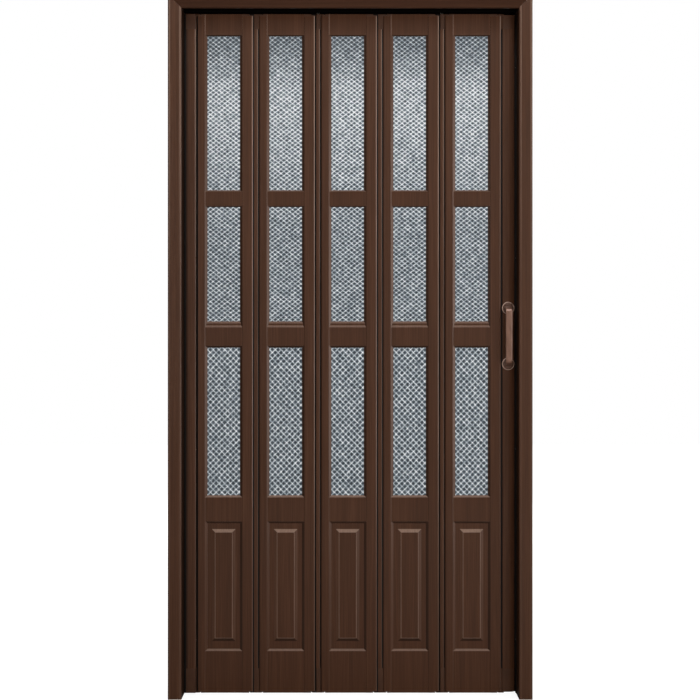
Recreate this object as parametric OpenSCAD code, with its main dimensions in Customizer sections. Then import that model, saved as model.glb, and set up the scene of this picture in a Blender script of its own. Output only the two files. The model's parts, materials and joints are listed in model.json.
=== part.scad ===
// Accordion folding door: five framed slats on hinge strips, hung in a mitred frame.
// Millimetres. The front is -Y and up is +Z.
// The origin lies on the floor, under the middle of the frame.

/* [Slats] */
// Width of one slat over its two round edges
slat_w = 170; // [150:1:200]
// Thickness of a slat
slat_t = 12; // [11:0.5:14]
// Gap between the slats and the floor
floor_gap = 3; // [2:0.5:8]
// Width of the left stile, from its round edge to the rails
stile_left_w = 25; // [23:0.5:32]
// Width of the right stile, from its round edge to the rails
stile_right_w = 33.5; // [23:0.5:40]
// Wall of the hollow stiles
stile_wall = 1.6; // [1.2:0.1:2]
// How far the face of the rails lies below the face of the stiles
rail_set = 0.4; // [0.2:0.1:1]
// Width of the sloping bead along the stiles
bead_w = 7; // [5:0.5:8]
// Thickness of the bead where it meets the pane
bead_lip = 0.6; // [0.4:0.1:1]

/* [Heights in a slat, from the bottom up] */
// Height of the face of the bottom rail
bottom_rail_h = 125; // [90:1:160]
// Height of the opening for the raised panel
raised_opening_h = 388.5; // [300:0.5:450]
// Height of the face of the lock rail
lock_rail_h = 72; // [55:1:90]
// Height of the low pane's opening
low_pane_h = 454.5; // [380:0.5:520]
// Height of the face of the middle rail
mid_rail_h = 55; // [40:1:80]
// Height of the middle pane's opening
mid_pane_h = 364; // [300:0.5:420]
// Height of the face of the high rail
high_rail_h = 43.5; // [35:0.5:60]
// Height of the high pane's opening
high_pane_h = 468.5; // [380:0.5:520]
// Height of the face of the top rail
top_rail_h = 62; // [50:1:90]

/* [Panes and raised panel] */
// Thickness of the panes and of the raised panel's sheet
pane_t = 4; // [3:0.5:5]
// Depth of the groove that holds them, from the tip of the bead
groove_depth = 9; // [8:0.5:10]
// Bevel of the rails around the high pane
bevel_narrow = 3.5; // [2:0.5:5]
// Bevel of the rails around the lower openings
bevel_wide = 6; // [4:0.5:7]
// Width of the step between the two bevels on the middle rail
step_w = 6; // [3:0.5:8]
// Depth of that step below the rail's face
step_drop = 1.4; // [0.8:0.1:2]
// How far the raised field stands above its sheet
raised_h = 3; // [2:0.5:3.5]
// Width of the slope around the raised field
raised_slope = 9.5; // [6:0.5:12]
// Flat margin between a stile and the raised field
raised_side = 20.5; // [14:0.5:26]
// Flat margin between the bottom rail and the raised field
raised_bottom = 29; // [18:0.5:36]
// Flat margin between the lock rail and the raised field
raised_top = 23.5; // [18:0.5:36]

/* [Hinges] */
// Width of a hinge strip
strip_w = 12; // [10:0.5:16]
// Thickness of a hinge strip
strip_t = 11.2; // [9:0.2:13]
// Wall of the hollow hinge strip
strip_wall = 1.5; // [1.2:0.1:2]
// Gap between a slat's round edge and the hinge strip
hinge_gap = 1.9; // [1.5:0.1:3]
// Height of the hinge link at the top
link_top_h = 45; // [30:1:70]
// Height of the hinge link at the bottom
link_bottom_h = 73; // [30:1:90]
// Thickness of the link's plate
link_t = 3; // [2.5:0.1:4]
// How far the link sits to the right of its strip
link_shift = 1; // [0:0.1:1.2]
// Diameter of the pivot pins
pin_d = 4; // [3:0.1:5]
// Length of a pivot pin below its plate
pin_l = 14; // [8:1:16]

/* [Wall profile and lead post] */
// Width of the wall profile
wall_w = 34.5; // [28:0.5:45]
// Thickness of the wall profile
wall_t = 16; // [14:0.5:20]
// Gap between the wall profile and the first slat
wall_gap = 3; // [1.5:0.1:4]
// Width of the lead post
post_w = 35.5; // [34:0.5:45]
// Thickness of the lead post
post_t = 16; // [15:0.5:20]
// Gap between the last slat and the lead post
post_gap = 3; // [1.5:0.1:4]
// Wall of the hollow wall profile and lead post
post_wall = 2; // [1.6:0.1:2.5]
// Radius of the curve on the front of the lead post
post_curve_r = 30; // [26:1:50]
// Width of that curve
post_curve_w = 16.5; // [8:0.5:18]
// Gap between the lead post and the right lining
closing_gap = 5.8; // [5.5:0.1:9]

/* [Frame] */
// Width of the casing boards
casing_w = 40; // [34:1:70]
// Thickness of the casing boards
casing_t = 10; // [8:0.5:14]
// Rounding of the casing's edges
casing_edge_r = 3; // [1.5:0.5:4]
// Clearance between the tops of the slats and the head casing they pass under
head_clear = 2; // [1:0.5:6]
// Open joint along a mitre
mitre_gap = 0.3; // [0.2:0.1:0.6]
// Thickness of the tongue on a casing board
tongue_t = 4; // [3:0.5:5]
// Length of that tongue
tongue_l = 18; // [10:1:24]
// Thickness of the lining boards
lining_t = 12; // [11:0.5:18]
// Depth of the lining boards, which is the thickness of the wall
lining_d = 112; // [100:1:160]

/* [Track and hangers] */
// Gap between the slats and the track
track_gap = 4; // [3:0.5:8]
// Height of the track
track_h = 19; // [18:0.5:24]
// Width of the track
track_w = 30; // [28:0.5:36]
// Wall of the track
track_wall = 1.6; // [1.2:0.1:2]
// Width of the slot along the track
track_slot = 11; // [9:0.5:12]
// Diameter of a roller
roller_d = 11; // [10:0.5:12]
// Width of a roller
roller_w = 5; // [4:0.5:5.5]
// Diameter of the axle
axle_d = 3; // [2.5:0.1:4]
// Length of a carriage
carriage_l = 34; // [24:1:50]
// Diameter of the hanger pin
hanger_d = 5; // [4:0.1:6]
// Depth of the hanger pin in the hinge link
hanger_in = 26; // [18:1:28]

/* [Handle] */
// Height of the middle of the handle above the floor
handle_z = 1072; // [950:1:1150]
// Distance between the centres of the rosettes
handle_centres = 167; // [140:1:200]
// Distance from the post's left edge to the handle's centre line
handle_inset = 16.5; // [15:0.5:20]
// Width of the bow
bow_w = 21; // [16:0.5:24]
// Thickness of the bow
bow_t = 7; // [5:0.5:8]
// Distance from the post's face to the middle of the bow
bow_stand = 27; // [24:1:32]
// Radius of the bends, on the bow's centre line
bow_bend_r = 10; // [8:0.5:11]
// Angle of the bends
bow_bend_angle = 70; // [60:1:80]
// Diameter of the rosettes
rosette_d = 37; // [32:0.5:38]
// Thickness of the rosettes
rosette_t = 4; // [3:0.5:6]

/* [Screws] */
// Diameter of the screws that fix the track, the profiles and the handle
screw_d = 4; // [3:0.5:4.5]
// Diameter of the screws' heads
head_d = 7; // [6:0.5:8]
// Height of the screws' heads
head_h = 2; // [1.5:0.1:2.2]
// How far a screw enters the lining
screw_in = 9; // [6:0.5:10]
// Length of the corner screws
corner_screw_l = 40; // [30:1:60]
// Diameter of the holes for the wall fixings
fixing_d = 5.5; // [4:0.5:7]
// Height of the lower pair of wall fixings
fixing_low_z = 250; // [150:10:400]
// Height of the upper pair of wall fixings
fixing_high_z = 1850; // [1500:10:1900]

/* [Hidden] */
$fn = 48;
SLATS = 5;
// Hinge strips whose hinge line stays under the track, and which hang from a carriage
HUNG = [2, 4];

// Fits, as the gap on each side
pane_fit = 0.1;
cope_fit = 0.1;
plug_fit = 0.1;
pin_fit = 0.05;
axle_fit = 0.06;
screw_fit = 0.05;
tongue_fit = 0.2;
link_fit = 0.3;
roll_gap = 0.3;
track_end_fit = 0.4;
small = 1;

// Slat
nose_r = slat_t / 2;
half_t = slat_t / 2;
rail_half = half_t - rail_set;
groove_half = pane_t / 2 + pane_fit;
bead_half = groove_half + bead_lip;
arris = 0.8;
slat_h = bottom_rail_h + raised_opening_h + lock_rail_h + low_pane_h + mid_rail_h
       + mid_pane_h + high_rail_h + high_pane_h + top_rail_h;
slat_bottom = floor_gap;
slat_top = floor_gap + slat_h;
axis_span = slat_w - 2 * nose_r;
left_joint = stile_left_w - nose_r;
right_joint = axis_span - stile_right_w + nose_r;
insert_play = 0.5;

// Heights of the edges of the rails' faces
z_raised_low = slat_bottom + bottom_rail_h;
z_raised_high = z_raised_low + raised_opening_h;
z_low_low = z_raised_high + lock_rail_h;
z_low_high = z_low_low + low_pane_h;
z_mid_low = z_low_high + mid_rail_h;
z_mid_high = z_mid_low + mid_pane_h;
z_high_low = z_mid_high + high_rail_h;
z_high_high = z_high_low + high_pane_h;

// End caps and hinge links
notch_h = link_t + 2 * link_fit;
cap_floor = 2;
cap_t = notch_h + cap_floor;
cap_plug_l = pin_l + cap_floor;
plate_half = nose_r - link_fit;
notch_reach = nose_r + 0.8;
spigot_l = 20;
axis_half = strip_w / 2 + hinge_gap + nose_r;
strip_edge_r = 1.5;

// Light lips that close the view through a hinge gap
lip_gap = 0.4;
lip_lap = 0.8;
lip_in = 1;
lip_out = min(slat_t, strip_t) / 2 - 0.6;

// Places along the door
slat_pitch = slat_w + 2 * hinge_gap + strip_w;
opening_w = wall_w + wall_gap + SLATS * slat_w + (SLATS - 1) * (strip_w + 2 * hinge_gap)
          + post_gap + post_w + closing_gap;
left_face = -opening_w / 2;
right_face = opening_w / 2;
function left_axis(k) = left_face + wall_w + wall_gap + nose_r + (k - 1) * slat_pitch;
function right_axis(k) = left_axis(k) + axis_span;
function strip_x(k) = right_axis(k) + axis_half;
// Side of a strip's lips: the front at the strips that fold outwards, else the back
function lip_side(k) = k % 2 == 1 ? -1 : 1;
function is_hung(k) = len([for (h = HUNG) if (h == k) h]) > 0;
wall_axis = left_axis(1);
post_axis = right_axis(SLATS);
post_left = nose_r + post_gap;
post_right = post_left + post_w;
post_half = post_t / 2;
// How far the post's chamber reaches under the curve
post_chamber_reach = 5;
wall_right = -nose_r - wall_gap;
wall_left = wall_right - wall_w;
profile_edge_r = 2;

// Track
track_z = slat_top + track_gap;
head_z = track_z + track_h;
lining_top_z = head_z + lining_t;
casing_head_z = slat_top + head_clear;
frame_h = casing_head_z + casing_w;
outer_x = right_face + casing_w;
lining_x = right_face + lining_t;
lining_y = lining_d / 2;
casing_y = lining_y + casing_t;
axle_z = track_z + track_wall + roll_gap + roller_d / 2;
carriage_half = 5;
carriage_h = 9;
roller_y = track_slot / 2 + roller_w / 2 + 0.9;
axle_half = roller_y + roller_w / 2 + 0.6;
track_screw_x = [-370, -125, 125, 370];

// Screws in the wall profile and the strike profile
profile_screw_end = 160;
profile_screw_z = [for (i = [0 : 3]) profile_screw_end + i * (slat_h - 2 * profile_screw_end) / 3];
strike_t = 2.4;
strike_front = -11;
stop_y = post_half + 1;
stop_t = 5;
stop_lap = 8;
strike_screw_y = -6.5;
strike_head_h = 1.2;
magnet_t = 1.6;
magnet_w = 6;
magnet_y = 2.5;
magnet_end = 90;
groove_play = 0.1;
corner_screw_y = 25;
fixing_y = 34;
fixing_x = 300;

// Handle
handle_x = post_left + handle_inset;
boss_r = 7;
bow_edge_r = 2.5;
leg_land = handle_centres / 2 + 3;
bend_rise = bow_bend_r * (1 - cos(bow_bend_angle));
leg_clear = rosette_t + plug_fit + bow_t / 2 * cos(bow_bend_angle);
leg_l = (bow_stand - bend_rise - leg_clear) / sin(bow_bend_angle);
bar_half = leg_land - bow_bend_r * sin(bow_bend_angle) - leg_l * cos(bow_bend_angle);
boss_proud = 6;
boss_h = rosette_t + boss_proud;
// The leg is this much slimmer than the bend all round, and starts this far inside it
leg_trim = 0.1;
leg_root = 0.8;
handle_screw_in = 8;

// Colours
brown = "#49311f";
dark_brown = "#3a2619";
track_dark = "#1d1612";
glass_grey = "#8b9095";
bronze = "#7d5c4b";
steel = "#9a9a98";
nylon = "#2b2320";

// Plane shapes

module rounded_box(w, t, r) {
    square([w, t - 2 * r], center = true);
    square([w - 2 * r, t], center = true);
    for (sx = [-1, 1], sy = [-1, 1])
        translate([sx * (w / 2 - r), sy * (t / 2 - r)]) circle(r = r);
}

// A stile seen from above, with its hinge axis at the origin and the rails towards +X
module stile_outline(joint) {
    circle(r = nose_r);
    polygon([[0, -half_t], [joint - arris, -half_t], [joint, -rail_half],
        [joint + bead_w, -bead_half], [joint + bead_w, bead_half], [joint, rail_half],
        [joint - arris, half_t], [0, half_t]]);
}

module stile_groove(joint) {
    translate([joint + bead_w - groove_depth, -groove_half])
        square([groove_depth + small, 2 * groove_half]);
}

module stile_chamber(joint, gap = 0) {
    r = nose_r - stile_wall - gap;
    circle(r = r);
    translate([0, -r]) square([joint + bead_w - groove_depth - stile_wall - gap, 2 * r]);
}

// Lips beside one hinge axis at [axis_x, 0], from [root_x] towards the axis
module light_lip(root_x, axis_x, side) {
    toward = axis_x > root_x ? 1 : -1;
    tip_x = axis_x - toward * (nose_r - lip_lap);
    difference() {
        translate([min(root_x, tip_x), side > 0 ? lip_in : -lip_out])
            square([abs(tip_x - root_x), lip_out - lip_in]);
        translate([axis_x, 0]) circle(r = nose_r + lip_gap);
    }
}

module strip_lips(side, shift = 0) {
    root = strip_w / 2 - strip_wall;
    light_lip(root + shift, axis_half, side);
    light_lip(-root + shift, -axis_half, side);
}

module strip_chamber(gap = 0) {
    square([strip_w - 2 * strip_wall - 2 * gap, strip_t - 2 * strip_wall - 2 * gap],
        center = true);
}

module wall_outline() {
    translate([(wall_left + wall_right) / 2, 0]) rounded_box(wall_w, wall_t, profile_edge_r);
    light_lip(wall_right - post_wall, 0, 1);
}

module wall_chamber(gap = 0) {
    translate([(wall_left + wall_right) / 2, 0])
        square([wall_w - 2 * post_wall - 2 * gap, wall_t - 2 * post_wall - 2 * gap],
            center = true);
}

module post_outline() {
    flat_end = post_right - post_curve_w;
    intersection() {
        translate([(post_left + post_right) / 2, 0])
            rounded_box(post_w, post_t, profile_edge_r);
        union() {
            translate([post_left, -post_half]) square([flat_end - post_left, post_t]);
            translate([flat_end, post_curve_r - post_half]) circle(r = post_curve_r, $fn = 120);
        }
    }
    light_lip(post_left + post_wall, 0, -1);
}

module post_chamber(gap = 0) {
    x0 = post_left + post_wall + gap;
    x1 = post_right - post_curve_w + post_chamber_reach - gap;
    y1 = post_half - post_wall - gap;
    translate([x0, -y1]) square([x1 - x0, 2 * y1]);
}

module magnet_seat(gap = 0) {
    translate([post_right - magnet_t, magnet_y - magnet_w / 2 - gap])
        square([magnet_t + small, magnet_w + 2 * gap]);
}

// Frame

// A casing board seen along its length, its inner edge at x = 0 and its back at y = 0
module casing_section(tongue_x) {
    difference() {
        translate([-casing_w / 2, -casing_t / 2]) rounded_box(casing_w, casing_t, casing_edge_r);
        translate([-casing_w - small, -casing_edge_r]) square([casing_w + 2 * small, 2 * casing_t]);
    }
    translate([-casing_w, -casing_edge_r]) square([casing_w, casing_edge_r]);
    translate([tongue_x - tongue_t / 2, -small]) square([tongue_t, tongue_l + small]);
}

// The left front casing, standing, with its mitre at the top
module casing_side() {
    cut = mitre_gap * sqrt(2) / 2;
    translate([left_face, -lining_y, 0]) intersection() {
        linear_extrude(frame_h) casing_section(-lining_t / 2);
        rotate([90, 0, 0]) translate([0, 0, -lining_d]) linear_extrude(2 * lining_d)
            polygon([[-casing_w - small, 0], [small, 0], [small, casing_head_z - small - cut],
                [-casing_w - small, frame_h + small - cut]]);
    }
}

// The front head casing, lying across the top, with a mitre at each end
module casing_head() {
    cut = mitre_gap * sqrt(2) / 2;
    inner = right_face - cut;
    difference() {
        intersection() {
            translate([-outer_x, -lining_y, casing_head_z]) rotate([90, 0, 90])
                linear_extrude(2 * outer_x) rotate(-90)
                    casing_section(casing_head_z - head_z - lining_t / 2);
            rotate([90, 0, 0]) translate([0, 0, -lining_d]) linear_extrude(2 * lining_d)
                polygon([[-inner, casing_head_z], [inner, casing_head_z],
                    [inner + casing_w, frame_h], [-inner - casing_w, frame_h]]);
        }
        for (sx = [-1, 1])
            translate([sx * (lining_x + casing_w / 2 + tongue_fit), -lining_y + lining_d / 4,
                head_z]) cube([casing_w, lining_d / 2, 4 * lining_t], center = true);
    }
}

module casing_front_left() { color(brown) casing_side(); }
module casing_front_right() { color(brown) mirror([1, 0, 0]) casing_side(); }
module casing_front_top() { color(brown) casing_head(); }
module casing_back_left() { color(brown) mirror([0, 1, 0]) casing_side(); }
module casing_back_right() { color(brown) mirror([0, 1, 0]) mirror([1, 0, 0]) casing_side(); }
module casing_back_top() { color(brown) mirror([0, 1, 0]) casing_head(); }

// Grooves for the casings' tongues in the two long edges of a lining board
module tongue_grooves(l) {
    w = tongue_t + 2 * tongue_fit;
    for (sy = [-1, 1])
        translate([-w / 2, sy > 0 ? lining_y - tongue_l - tongue_fit : -lining_y - small, -small])
            cube([w, tongue_l + tongue_fit + small, l + 2 * small]);
}

// A side lining seen from its own middle plane, standing on the floor
module side_lining() {
    difference() {
        translate([-lining_t / 2, -lining_y, 0]) cube([lining_t, lining_d, head_z]);
        tongue_grooves(head_z);
        for (sy = [-1, 1], z = [fixing_low_z, fixing_high_z])
            translate([0, sy * fixing_y, z]) rotate([0, 90, 0])
                cylinder(d = fixing_d, h = 2 * lining_t, center = true);
        for (sy = [-1, 1])
            translate([0, sy * corner_screw_y, lining_top_z - corner_screw_l - small])
                cylinder(d = screw_d + 2 * screw_fit, h = corner_screw_l);
    }
}

// Pilot holes for a row of screws that enter a lining from the door's side
module pilot_holes(face_x, y, outward) {
    for (z = profile_screw_z)
        translate([face_x - outward * small, y, slat_bottom + z]) rotate([0, outward * 90, 0])
            cylinder(d = screw_d + 2 * screw_fit, h = screw_in + small + screw_fit);
}

module lining_left() {
    color(dark_brown) difference() {
        translate([left_face - lining_t / 2, 0, 0]) side_lining();
        pilot_holes(left_face, 0, -1);
    }
}

module lining_right() {
    color(dark_brown) difference() {
        translate([right_face + lining_t / 2, 0, 0]) side_lining();
        pilot_holes(right_face, strike_screw_y, 1);
    }
}

module lining_top() {
    color(dark_brown) difference() {
        translate([-lining_x, -lining_y, head_z]) cube([2 * lining_x, lining_d, lining_t]);
        translate([-lining_x, 0, head_z + lining_t / 2]) rotate([0, 90, 0])
            tongue_grooves(2 * lining_x);
        for (x = track_screw_x)
            translate([x, 0, head_z - small])
                cylinder(d = screw_d + 2 * screw_fit, h = screw_in + small);
        for (x = [-fixing_x, fixing_x], sy = [-1, 1])
            translate([x, sy * fixing_y, head_z - small])
                cylinder(d = fixing_d, h = lining_t + 2 * small);
        for (sx = [-1, 1], sy = [-1, 1])
            translate([sx * (right_face + lining_t / 2), sy * corner_screw_y, head_z - small]) {
                cylinder(d = screw_d + 2 * screw_fit, h = lining_t + 2 * small);
                translate([0, 0, lining_t + small - head_h - screw_fit])
                    cylinder(d = head_d + 2 * screw_fit, h = head_h + small);
            }
    }
}

// A pan head screw along +Z: the head's top at z = 0, its shank of length l below it
module screw(l, head = head_h) {
    translate([0, 0, -head]) cylinder(d = head_d, h = head);
    translate([0, 0, -head - l]) cylinder(d = screw_d, h = l + head / 2);
}

module corner_screws() {
    color(steel) for (sx = [-1, 1], sy = [-1, 1])
        translate([sx * (right_face + lining_t / 2), sy * corner_screw_y, lining_top_z])
            screw(corner_screw_l - head_h);
}

// Track

module track_section() {
    difference() {
        translate([-track_w / 2, 0]) square([track_w, track_h]);
        translate([-track_w / 2 + track_wall, track_wall])
            square([track_w - 2 * track_wall, track_h - 2 * track_wall]);
        translate([-track_slot / 2, -small]) square([track_slot, track_wall + 2 * small]);
    }
}

module top_track() {
    l = opening_w - 2 * track_end_fit;
    color(track_dark) difference() {
        translate([-l / 2, 0, track_z]) rotate([90, 0, 90]) linear_extrude(l) track_section();
        for (x = track_screw_x)
            translate([x, 0, head_z - 2 * track_wall])
                cylinder(d = screw_d + 2 * screw_fit, h = 3 * track_wall);
    }
}

// Wall side

module wall_profile() {
    h = slat_h - link_top_h - link_bottom_h;
    color(brown) difference() {
        translate([wall_axis, 0, slat_bottom + link_bottom_h]) linear_extrude(h) difference() {
            wall_outline();
            wall_chamber();
        }
        for (z = profile_screw_z)
            translate([left_face - small, 0, slat_bottom + z]) rotate([0, 90, 0]) {
                cylinder(d = screw_d + 2 * screw_fit, h = post_wall + 2 * small);
                translate([0, 0, wall_w / 2]) cylinder(d = head_d + 1, h = wall_w);
            }
    }
}

// Screws of the track, the wall profile and the strike profile
module frame_screws() {
    color(steel) for (x = track_screw_x)
        translate([x, 0, head_z - track_wall - head_h]) mirror([0, 0, 1])
            screw(track_wall + screw_in - small);
    color(steel) for (z = profile_screw_z) {
        translate([left_face + post_wall + head_h, 0, slat_bottom + z]) rotate([0, 90, 0])
            screw(post_wall + screw_in - screw_fit);
        translate([right_face - strike_t, strike_screw_y, slat_bottom + z]) rotate([0, -90, 0])
            screw(strike_t - strike_head_h + screw_in - screw_fit, strike_head_h);
    }
}

// Plate and pin of a link: the plate's top lies link_fit below z = 0
module link_plate(x0, x1) {
    translate([0, 0, -link_fit - link_t]) linear_extrude(link_t)
        translate([min(x0, x1), -plate_half]) square([abs(x1 - x0), 2 * plate_half]);
}

module link_pin(x) {
    translate([x, 0, -link_fit - link_t]) {
        cylinder(r = plate_half, h = link_t);
        translate([0, 0, -pin_l]) cylinder(d = pin_d, h = pin_l + link_t / 2);
    }
}

// Stands one kind of link at the top and, turned over, at the bottom of the door
module top_and_bottom() {
    translate([0, 0, slat_top]) children(0);
    translate([0, 0, slat_bottom]) mirror([0, 0, 1]) children(1);
}

module wall_link(h) {
    translate([0, 0, -h]) linear_extrude(h) wall_outline();
    translate([0, 0, -h - spigot_l]) linear_extrude(spigot_l + small) wall_chamber(plug_fit);
    link_plate(wall_right - small, 0);
    link_pin(0);
}

module wall_hinge_links() {
    color(nylon) translate([wall_axis, 0, 0]) top_and_bottom() {
        wall_link(link_top_h);
        wall_link(link_bottom_h);
    }
}

module strike_profile() {
    color(brown) difference() {
        translate([right_face - strike_t, strike_front, slat_bottom])
            cube([strike_t, stop_y - strike_front, slat_h - link_fit]);
        for (z = profile_screw_z)
            translate([right_face, strike_screw_y, slat_bottom + z]) rotate([0, -90, 0]) {
                translate([0, 0, -small])
                    cylinder(d = screw_d + 2 * screw_fit, h = strike_t + 2 * small);
                translate([0, 0, strike_t - strike_head_h])
                    cylinder(d = head_d + 2 * screw_fit, h = strike_head_h + small);
            }
    }
}

// The strip that the lead post closes against, fixed to the lining behind the strike profile
module stop_strip() {
    color(brown) translate([right_face - closing_gap - stop_lap, stop_y, slat_bottom])
        cube([closing_gap + stop_lap, stop_t, slat_h - link_fit]);
}

module strike_magnet() {
    color(nylon) translate([right_face - strike_t - magnet_t, magnet_y - magnet_w / 2,
        slat_bottom + magnet_end]) cube([magnet_t, magnet_w, slat_h - 2 * magnet_end]);
}

// Slats

// Stands a left and a right form of one slat at its two hinge axes
module at_both_edges(k) {
    translate([left_axis(k), 0, 0]) children(0);
    translate([right_axis(k), 0, 0]) mirror([1, 0, 0]) children(1);
}

module stile(joint) {
    translate([0, 0, slat_bottom + cap_t]) linear_extrude(slat_h - 2 * cap_t) difference() {
        stile_outline(joint);
        stile_groove(joint);
        stile_chamber(joint);
    }
}

module slat_stiles(k) {
    color(brown) at_both_edges(k) {
        stile(left_joint);
        stile(stile_right_w - nose_r);
    }
}

// The cap's top lies at z = 0, and its plug enters the stile below
module end_cap(joint) {
    difference() {
        union() {
            translate([0, 0, -cap_t]) linear_extrude(cap_t) difference() {
                stile_outline(joint);
                stile_groove(joint);
            }
            translate([0, 0, -cap_t - cap_plug_l]) linear_extrude(cap_plug_l + small)
                stile_chamber(joint, plug_fit);
        }
        translate([-nose_r - small, -half_t - small, -notch_h])
            cube([nose_r + small + notch_reach, slat_t + 2 * small, notch_h + small]);
        translate([0, 0, -cap_t - cap_plug_l - small])
            cylinder(d = pin_d + 2 * pin_fit, h = cap_t + cap_plug_l + small);
    }
}

module end_cap_pair(joint) {
    top_and_bottom() {
        end_cap(joint);
        end_cap(joint);
    }
}

module slat_end_caps(k) {
    color(dark_brown) at_both_edges(k) {
        end_cap_pair(left_joint);
        end_cap_pair(stile_right_w - nose_r);
    }
}

// A rail seen from its end: the face runs from z0 to z1, a bevel of 0 is a square edge
module rail_section(z0, z1, bevel_low, bevel_high, stepped = false) {
    step_half = rail_half - step_drop;
    upper = bevel_high == 0 ? [[rail_half, z1]]
        : stepped ? [[rail_half, z1], [step_half, z1 + bevel_high],
            [step_half, z1 + bevel_high + step_w], [bead_half, z1 + 2 * bevel_high + step_w]]
        : [[rail_half, z1], [bead_half, z1 + bevel_high]];
    lower = bevel_low == 0 ? [[rail_half, z0]]
        : [[bead_half, z0 - bevel_low], [rail_half, z0]];
    side = concat(lower, upper);
    n = len(side);
    tip_high = side[n - 1][1];
    difference() {
        polygon(concat(side, [for (i = [n - 1 : -1 : 0]) [-side[i][0], side[i][1]]]));
        if (bevel_high > 0)
            translate([-groove_half, tip_high - groove_depth])
                square([2 * groove_half, groove_depth + small]);
        if (bevel_low > 0)
            translate([-groove_half, z0 - bevel_low - small])
                square([2 * groove_half, groove_depth + small]);
    }
}

// The part of a stile that a rail's end is cut to fit
module cope(joint) {
    polygon([[joint - small, -rail_half - cope_fit], [joint, -rail_half - cope_fit],
        [joint + bead_w + cope_fit, -bead_half - cope_fit],
        [joint + bead_w + cope_fit, bead_half + cope_fit],
        [joint, rail_half + cope_fit], [joint - small, rail_half + cope_fit]]);
}

// Tongue of a rail in the groove of the stile at one side
module rail_tongue(joint, z0, z1) {
    x0 = joint + bead_w - groove_depth + insert_play;
    translate([x0, -pane_t / 2, z0])
        cube([groove_depth - insert_play + small, pane_t, z1 - z0]);
}

module rail(z0, z1, bevel_low, bevel_high, stepped = false) {
    // the tongue stops short of the grooves that hold the panes
    t0 = bevel_low > 0 ? z0 - bevel_low + groove_depth : z0;
    t1 = bevel_high > 0 ? z1 + bevel_high - groove_depth : z1;
    difference() {
        translate([left_joint, 0, 0]) rotate([90, 0, 90])
            linear_extrude(right_joint - left_joint)
                rail_section(z0, z1, bevel_low, bevel_high, stepped);
        translate([0, 0, slat_bottom - small]) linear_extrude(slat_h + 2 * small) {
            cope(left_joint);
            translate([axis_span, 0]) mirror([1, 0]) cope(stile_right_w - nose_r);
        }
    }
    rail_tongue(left_joint, t0, t1);
    translate([axis_span, 0, 0]) mirror([1, 0, 0]) rail_tongue(stile_right_w - nose_r, t0, t1);
}

module slat_rails(k) {
    color(brown) translate([left_axis(k), 0, 0]) {
        rail(slat_bottom, z_raised_low, 0, bevel_wide);
        rail(z_raised_high, z_low_low, bevel_wide, bevel_wide);
        rail(z_low_high, z_mid_low, bevel_wide, bevel_wide, true);
        rail(z_mid_high, z_high_low, bevel_narrow, bevel_narrow);
        rail(z_high_high, slat_top, bevel_narrow, 0);
    }
}

// A sheet that fills the grooves around an opening; tip_low and tip_high are the beads' tips
module sheet(tip_low, tip_high) {
    hold = groove_depth - insert_play;
    x0 = left_joint + bead_w - hold;
    x1 = right_joint - bead_w + hold;
    translate([x0, -pane_t / 2, tip_low - hold])
        cube([x1 - x0, pane_t, tip_high - tip_low + 2 * hold]);
}

module slat_panes(k) {
    color(glass_grey) translate([left_axis(k), 0, 0]) {
        sheet(z_low_low + bevel_wide, z_low_high - bevel_wide);
        sheet(z_mid_low + 2 * bevel_wide + step_w, z_mid_high - bevel_narrow);
        sheet(z_high_low + bevel_narrow, z_high_high - bevel_narrow);
    }
}

// Both faces of a raised field seen along one of its sides
module field_section(a0, a1) {
    base = pane_t / 2;
    top = base + raised_h;
    polygon([[a0, -base], [a0 + raised_slope, -top], [a1 - raised_slope, -top], [a1, -base],
        [a1, base], [a1 - raised_slope, top], [a0 + raised_slope, top], [a0, base]]);
}

module slat_raised_panel(k) {
    x0 = left_joint + raised_side;
    x1 = right_joint - raised_side;
    z0 = z_raised_low + raised_bottom;
    z1 = z_raised_high - raised_top;
    color(brown) translate([left_axis(k), 0, 0]) {
        sheet(z_raised_low + bevel_wide, z_raised_high - bevel_wide);
        intersection() {
            translate([0, 0, z0]) linear_extrude(z1 - z0) field_section(x0, x1);
            translate([x0, 0, 0]) rotate([90, 0, 90]) linear_extrude(x1 - x0)
                mirror([1, -1]) field_section(z0, z1);
        }
    }
}

// Hinge strips

module hinge_strip(k) {
    h = slat_h - link_top_h - link_bottom_h;
    color(dark_brown) translate([strip_x(k), 0, slat_bottom + link_bottom_h])
        linear_extrude(h) difference() {
            union() {
                rounded_box(strip_w, strip_t, strip_edge_r);
                strip_lips(lip_side(k));
            }
            strip_chamber();
        }
}

module strip_link(h, side) {
    translate([0, 0, -h]) linear_extrude(h - link_fit) {
        translate([link_shift, 0]) rounded_box(strip_w, strip_t, strip_edge_r);
        strip_lips(side, link_shift / 2);
    }
    translate([0, 0, -h - spigot_l]) linear_extrude(spigot_l + small) strip_chamber(plug_fit);
    link_plate(-axis_half, axis_half);
    link_pin(-axis_half);
    link_pin(axis_half);
}

module hinge_links(k) {
    color(nylon) translate([strip_x(k), 0, 0]) difference() {
        top_and_bottom() {
            strip_link(link_top_h, lip_side(k));
            strip_link(link_bottom_h, lip_side(k));
        }
        if (is_hung(k))
            translate([0, 0, slat_top - hanger_in - small])
                cylinder(d = hanger_d + 2 * pin_fit, h = hanger_in + 2 * small);
    }
}

// Hangers

module carriage(k) {
    color(nylon) translate([strip_x(k), 0, axle_z]) difference() {
        union() {
            translate([-carriage_l / 2, -carriage_half, -carriage_h / 2])
                cube([carriage_l, 2 * carriage_half, carriage_h]);
            translate([0, 0, slat_top - hanger_in - axle_z])
                cylinder(d = hanger_d, h = axle_z - slat_top + hanger_in);
            rotate([90, 0, 0]) cylinder(d = axle_d, h = 2 * axle_half, center = true);
        }
        for (sx = [-1, 1])
            translate([sx * carriage_l / 3.2, 0, 0]) rotate([90, 0, 0])
                cylinder(d = carriage_h / 2, h = 3 * carriage_half, center = true);
    }
}

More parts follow.
